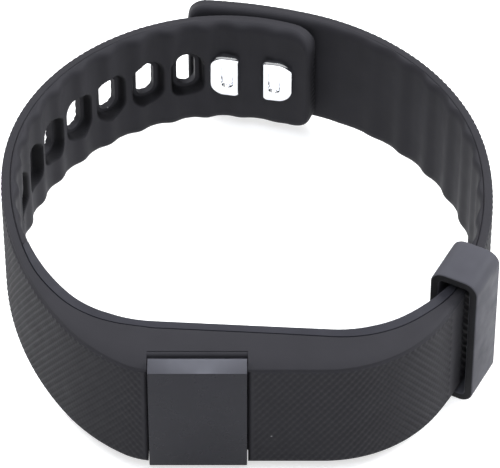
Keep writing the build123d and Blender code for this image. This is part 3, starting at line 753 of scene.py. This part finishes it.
def peg(name, side):
    """Chrome peg with a D-shaped head, dimpled over its stem."""
    width, length, thick = PEG_HEAD
    far, flat = PEG_ROUND

    def placed(outline, u):
        return outline * (side, 1) + (side * u, 0)

    head = placed(rounded_outline(width, length, (far, flat, flat, far)), PEG_CENTRE)
    dimple = placed(stadium(*PEG_DIMPLE), PEG_STEM_PITCH / 2)
    stem = placed(stadium(*PEG_STEM), PEG_STEM_PITCH / 2)
    rows = [(dimple, 0.45, 0.50), (dimple, 0.12, 0.45), (dimple, 0.0, 0.12), (dimple, -0.12, 0.0),
            (head, 0.42, 0.0), (head, 0.18, 0.06), (head, 0.03, 0.22), (head, 0.0, 0.5),
            (head, 0.0, thick - 0.1), (head, 0.12, thick), (stem, -0.15, thick + 0.02),
            (stem, 0.0, thick + 0.3), (stem, 0.0, peg_out[1] - peg_out[0])]
    rows = [(shrink(outline, inset), w) for outline, inset, w in rows]
    obj = clasp_solid(name, rows, sum(peg_along) / 2, peg_out[0])
    sharpen(obj, 35)
    return obj


def plate_solid(name, levels):
    """Rounded plate on the clasp's outside; each level is an inset and a place outward."""
    (start, stop), _, (bottom, top) = clasp_extent("clasp_plate")
    section = rounded_outline(stop - start, top - bottom, (2.0,) * 4, 10)
    return clasp_solid(name, [(shrink(section, inset), w) for inset, w in levels], (start + stop) / 2)


peg_along, peg_out, _ = clasp_extent("clasp_pegs")
pegs = [peg("clasp_peg_left", -1), peg("clasp_peg_right", 1)]
plate_in, plate_out = clasp_extent("clasp_plate")[1]
back_plate = plate_solid("clasp_back_plate", [
    (0.3, plate_in), (0.0, plate_in + 0.1), (0.0, plate_out - 0.16), (0.05, plate_out - 0.05),
    (0.16, plate_out), (1.0, plate_out + 0.02)])
sharpen(back_plate, 40)
cut(right_band, plate_solid("seat", [
    (-0.06, plate_in), (-0.06, plate_out), (-0.30, plate_out + 0.6), (-0.30, plate_out + 3.0)]))
sharpen(right_band, 48)


# ---- materials -----------------------------------------------------------------------------------
MOTTLE_SCALE = 160
ROUGHNESS_SCALE = 420
DUST_SCALE = 210
DUST_PATCH_SCALE = 95
DUST_COLOUR = (0.30, 0.30, 0.31, 1)
COOL_TINT = (0.93, 0.93, 1.0, 1.0)
CELL_BUMP = 0.03       # extra height of the lattice's cells in the shading, mm
LATTICE_DARK = 0.27    # how much darker the rough lattice is than the smooth rubber
PAINTED_WALL_SHADE_AMOUNT = 0.75       # how much painted shade darkens the steep walls of the dishes, where light hardly reaches


class Graph:
    """Short calls that add nodes to a material."""

    def __init__(self, mat):
        mat.use_nodes = True
        self.nodes, self.links = mat.node_tree.nodes, mat.node_tree.links
        self.shader = self.nodes["Principled BSDF"]
        self.position = self.add("TexCoord", "Object")

    def feed(self, node, inputs):
        """Set a node's inputs to fixed values or to other nodes' outputs."""
        for key, value in inputs.items():
            if isinstance(value, bpy.types.NodeSocket):
                self.links.new(value, node.inputs[key])
            else:
                node.inputs[key].default_value = value

    def add(self, kind, output, inputs=None, **settings):
        """Add a node and return one of its outputs."""
        node = self.nodes.new("ShaderNode" + kind)
        for key, value in settings.items():
            setattr(node, key, value)
        self.feed(node, inputs or {})
        return node.outputs[output]

    def noise(self, scale, detail=3.0):
        return self.add("TexNoise", "Fac", {"Vector": self.position, "Scale": scale, "Detail": detail})

    def ramp(self, value, low, high, a, b):
        return self.add("MapRange", "Result", {
            "Value": value, "From Min": low, "From Max": high, "To Min": a, "To Max": b})

    def calc(self, operation, *values, clamp=False):
        return self.add("Math", "Value", dict(enumerate(values)), operation=operation, use_clamp=clamp)

    def scaled(self, colour, factor):
        return self.add("VectorMath", "Vector", {0: colour, "Scale": factor}, operation="SCALE")

    def bump(self, height, strength, distance, beneath=None):
        inputs = {"Height": height, "Strength": strength, "Distance": distance}
        if beneath:
            inputs["Normal"] = beneath
        return self.add("Bump", "Normal", inputs)

    def layer(self, name):
        """The two values kept in a UV layer."""
        split = self.nodes.new("ShaderNodeSeparateXYZ")
        self.feed(split, {"Vector": self.add("UVMap", "UV", uv_map=name)})
        return split.outputs["X"], split.outputs["Y"]

    def dusty(self, colour, amount):
        """A colour with rare pale specks."""
        cells = self.add("TexVoronoi", "Distance", {"Vector": self.position, "Scale": DUST_SCALE})
        dot = self.ramp(cells, 0.034, 0.016, 0, 1)
        rare = self.ramp(self.noise(DUST_PATCH_SCALE, 1.0), 0.60, 0.66, 0, amount)
        speck = self.calc("MULTIPLY", dot, rare, clamp=True)
        return self.add("Mix", "Result", {"Factor": speck, "A": colour, "B": DUST_COLOUR}, data_type="RGBA")

    def cells(self):
        """The lattice's height, and a tone: darker on the rough lattice, and darker still where shade is
        painted on the dishes' walls.
        """
        u, v = self.layer("lattice")
        relief, side_on = self.layer("relief")
        families = []
        for operation, front, side in zip(("ADD", "SUBTRACT"), RIDGES_FRONT, RIDGES_SIDE):
            ridge = self.calc("COSINE", self.calc("MULTIPLY", self.calc(operation, u, v), 2 * math.pi))
            strength = self.calc("MULTIPLY_ADD", side_on, (side - front) / 2, front / 2)
            families.append(self.calc("MULTIPLY", ridge, strength))
        height = self.calc("MULTIPLY", self.calc("ADD", *families), relief)
        painted_wall_shade, _ = self.layer("shade")
        tone = self.calc("MULTIPLY", self.calc("MULTIPLY_ADD", relief, -LATTICE_DARK, 1.0),
                         self.calc("MULTIPLY_ADD", painted_wall_shade, -PAINTED_WALL_SHADE_AMOUNT, 1.0))
        return height, tone


def material(name, base, rough, spec=0.5, metal=0.0, grain=(900, 0.06), colour_shift=0.12, dust=0.0,
             rough_shift=0.08, grain_depth=0.02, cells=False):
    """Moulded or metal surface with mottled colour, fine grain and, if asked, dust, and the lattice with
    shade painted on the dishes' walls.
    """
    mat = bpy.data.materials.new(name)
    graph = Graph(mat)
    mottle = graph.ramp(graph.noise(MOTTLE_SCALE), 0.3, 0.7, 1 - colour_shift, 1 + colour_shift)
    colour = graph.scaled(base, mottle)
    if dust > 0:
        colour = graph.dusty(colour, dust)
    lattice_normal = None
    if cells:
        height, tone = graph.cells()
        lattice_normal = graph.bump(height, 1.0, CELL_BUMP * MM)
        spec = graph.calc("MULTIPLY_ADD", height, spec * 0.10, spec)
        # the lattice darkens the colour, and the dishes' walls get painted shade
        colour = graph.scaled(colour, tone)
    roughness = graph.ramp(graph.noise(ROUGHNESS_SCALE), 0.3, 0.7, rough - rough_shift, rough + rough_shift)
    grain_scale, grain_strength = grain
    grain_height = graph.noise(grain_scale * 4, 4.0)
    graph.feed(graph.shader, {
        "Base Color": colour,
        "Metallic": metal,
        "Specular IOR Level": spec,
        "Specular Tint": COOL_TINT,
        "Roughness": roughness,
        "Normal": graph.bump(grain_height, grain_strength, grain_depth * MM, lattice_normal),
    })
    return mat


rubber = material("soft_rubber", (0.0205, 0.0200, 0.0230), 0.62, spec=0.10, grain=(1400, 0.35), dust=0.9,
                  colour_shift=0.05, rough_shift=0.03, cells=True)
case_plastic = material("case_plastic", (0.019, 0.019, 0.024), 0.55, spec=0.14, grain=(1500, 0.25), dust=0.7)
loop_plastic = material("loop_plastic", (0.050, 0.050, 0.058), 0.50, spec=0.05, grain=(1200, 0.3), dust=0.9)
# the loop's end faces: the same plastic painted darker, as painted shade
loop_end_painted_shade = material("loop_end_painted_shade", (0.013, 0.013, 0.014), 0.60, spec=0.06, grain=(1200, 0.3))
frame_plastic = material("frame_plastic", (0.006, 0.006, 0.009), 0.30, spec=0.18, grain=(1500, 0.15),
                         dust=0.4)
bevel_plastic = material("bevel_plastic", (0.022, 0.022, 0.029), 0.46, spec=0.74, grain=(1500, 0.15),
                         dust=0.4)
chrome = material("chrome", (0.88, 0.89, 0.91), 0.10, metal=1.0, grain=(500, 0.05), colour_shift=0.02,
                  rough_shift=0.03)
plate_steel = material("plate_steel", (0.15, 0.15, 0.165), 0.36, metal=1.0, grain=(1800, 0.35),
                       colour_shift=0.10)
steel = material("steel", (0.62, 0.63, 0.65), 0.28, metal=1.0, grain=(2500, 0.2), colour_shift=0.04)
board_green = material("board", (0.02, 0.14, 0.06), 0.45, grain=(600, 0.2))
chip_black = material("chip", (0.02, 0.02, 0.022), 0.55, grain=(900, 0.3))
gold = material("gold", (0.83, 0.60, 0.24), 0.25, metal=1.0, grain=(600, 0.1), colour_shift=0.05)
copper = material("copper", (0.72, 0.38, 0.22), 0.35, metal=1.0, grain=(600, 0.1), colour_shift=0.06)
foil = material("foil", (0.62, 0.63, 0.66), 0.38, metal=0.9, grain=(300, 0.5), grain_depth=0.1)
foam = material("foam", (0.03, 0.03, 0.03), 0.9, spec=0.2, grain=(700, 0.9), grain_depth=0.1)
glass = material("display_glass", (0.006, 0.006, 0.008), 0.12, spec=0.6, grain=(400, 0.02))

NODE_MATERIALS = {
    "module_front_case": case_plastic, "face_cover": frame_plastic, "touch_electrode": copper,
    "display_panel": glass, "display_foam": foam, "display_flex": copper, "main_board": board_green,
    "board_screws": steel, "radio_chip": chip_black, "memory_chip": chip_black, "motion_chip": chip_black,
    "power_chip": chip_black, "clock_crystal": foil, "chip_antenna": gold, "battery": foil,
    "battery_tape": foam, "battery_leads": copper, "motor_case": steel, "motor_shaft": steel,
    "motor_magnet": steel, "motor_weight": steel, "motor_pad": foam, "case_seal": foam,
    "charge_contacts": gold,
}


def paint(obj, *materials):
    obj.data.materials.clear()
    for mat in materials:
        obj.data.materials.append(mat)


def paint_second(obj, chosen):
    """Give an object's second material to the polygons whose normals pass a test."""
    for polygon in obj.data.polygons:
        polygon.material_index = int(chosen(polygon.normal))


for node, mat in NODE_MATERIALS.items():
    paint(frame["nodes"][node], mat)
for obj in (left_band, right_band):
    paint(obj, rubber)
paint(back_case, case_plastic)
paint(keeper_ring, loop_plastic, loop_end_painted_shade)
# the end faces, across the strap's way, take the darker copy: painted shade
paint_second(keeper_ring, lambda n: abs(n.dot(Vector((*KEEPER_TANGENT, 0)))) > 0.9)
paint(bezel, frame_plastic, bevel_plastic)
paint_second(bezel, lambda n: 0.35 < abs(n.z) < 0.95 and n.y < 0)
paint(back_plate, plate_steel)
for obj in pegs:
    paint(obj, chrome)


# ---- what each piece rides on --------------------------------------------------------------------
def flex(obj, pivot, outline):
    """Bake a band's placement into its mesh. The ends of a flex line are worked out but not used: the band
    is not bent.
    """
    s = outline.nearest(pivot)
    before, after = outline.at([s - 0.5, s + 0.5])[0]
    direction = (after - before) / np.linalg.norm(after - before)
    ends = to_frame([[*(pivot + side * direction * FLEX_REACH), MID_Z] for side in (-1, 1)])
    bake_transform(obj)


def ride(obj, body, *nodes):
    """Fix a piece to a body, where it stands for some of the CAD's nodes."""
    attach(obj, body)
    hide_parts(*nodes)


flex(left_band, left_pivot, left_outline)
flex(right_band, right_pivot, right_outline)
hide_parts("hole_strap", "front_shell")
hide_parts("clasp_strap", "front_shell")
ride(back_case, "tracker", "module_back_case")
ride(keeper_ring, "keeper", "keeper_loop")
ride(bezel, "tracker", "block_bezel", "face_cover")
ride(back_plate, "clasp_strap", "clasp_plate")
for obj in pegs:
    ride(obj, "clasp_strap", "clasp_pegs")


# ---- floor, light and camera ---------------------------------------------------------------------
FLOOR_SIZE = 4.0
FLOOR_GLOW = 0.62                      # a lit table, so shadows stay faint
SKY_RAMP = {"From Min": -0.5, "From Max": 0.8, "To Min": 0.55, "To Max": 0.95}
LIGHT_TARGET = Vector((0, 0, 0.01))
LIGHTS = {                             # place and disk size in metres, power, colour
    "top": ((0.0, 0.08, 0.75), 0.56, 1.8, (0.95, 0.97, 1.0)),
    "left": ((-0.48, 0.32, 0.50), 0.36, 4.6, (0.97, 0.98, 1.0)),
    "right": ((0.54, 0.20, 0.42), 0.36, 6.4, (0.97, 0.98, 1.0)),
    "front": ((0.0, -0.35, 0.72), 0.40, 2.9, (0.88, 0.93, 1.0)),
}
ELEVATION = math.radians(46.0)
DISTANCE = 613.0                       # millimetres, from the band's middle
LENS = 298.8
SENSOR = 36.0


def add_object(name, data):
    obj = bpy.data.objects.new(name, data)
    bpy.context.scene.collection.objects.link(obj)
    return obj


def aim(obj, location, target):
    obj.location = location
    obj.rotation_euler = (target - Vector(location)).to_track_quat("-Z", "Y").to_euler()


floor_material = material("floor", (0.62, 0.62, 0.62), 0.7, spec=0.2, grain=(50, 0.0), colour_shift=0.004)
floor_shader = floor_material.node_tree.nodes["Principled BSDF"]
floor_shader.inputs["Emission Color"].default_value = (1, 1, 1, 1)
floor_shader.inputs["Emission Strength"].default_value = FLOOR_GLOW
floor_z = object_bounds()[0].z - 0.0002
floor_half = FLOOR_SIZE / 2
floor_corners = [(-floor_half, -floor_half), (floor_half, -floor_half), (floor_half, floor_half),
                 (-floor_half, floor_half)]
floor_points = np.array([(x, y, floor_z) for x, y in floor_corners])
floor = make_mesh("floor", floor_points, [(0, 1, 2, 3)], smooth=False)
paint(floor, floor_material)

world = bpy.data.worlds.new("studio")
bpy.context.scene.world = world
world.use_nodes = True
sky, sky_links = world.node_tree.nodes, world.node_tree.links
sky["Background"].inputs["Color"].default_value = (1, 1, 1, 1)
sky_direction = sky.new("ShaderNodeTexCoord")
sky_axes = sky.new("ShaderNodeSeparateXYZ")
sky_ramp = sky.new("ShaderNodeMapRange")
for key, value in SKY_RAMP.items():
    sky_ramp.inputs[key].default_value = value
sky_links.new(sky_direction.outputs["Generated"], sky_axes.inputs["Vector"])
sky_links.new(sky_axes.outputs["Y"], sky_ramp.inputs["Value"])
sky_links.new(sky_ramp.outputs["Result"], sky["Background"].inputs["Strength"])
bpy.context.scene.view_settings.view_transform = "Standard"

for name, (location, size, power, colour) in LIGHTS.items():
    light = bpy.data.lights.new(name, "AREA")
    light.shape = "DISK"
    light.size = size
    light.energy = power
    light.color = colour
    aim(add_object(name, light), location, LIGHT_TARGET)

camera_data = bpy.data.cameras.new("camera")
camera_data.sensor_width = SENSOR
camera_data.lens = LENS
camera_data.clip_start = 0.01
camera = add_object("camera", camera_data)
middle = Vector(to_frame([0.0, 0.0, MID_Z]))
view_from = Vector((0, -math.cos(ELEVATION), math.sin(ELEVATION)))
aim(camera, middle + view_from * DISTANCE * MM, middle)
bpy.context.scene.camera = camera
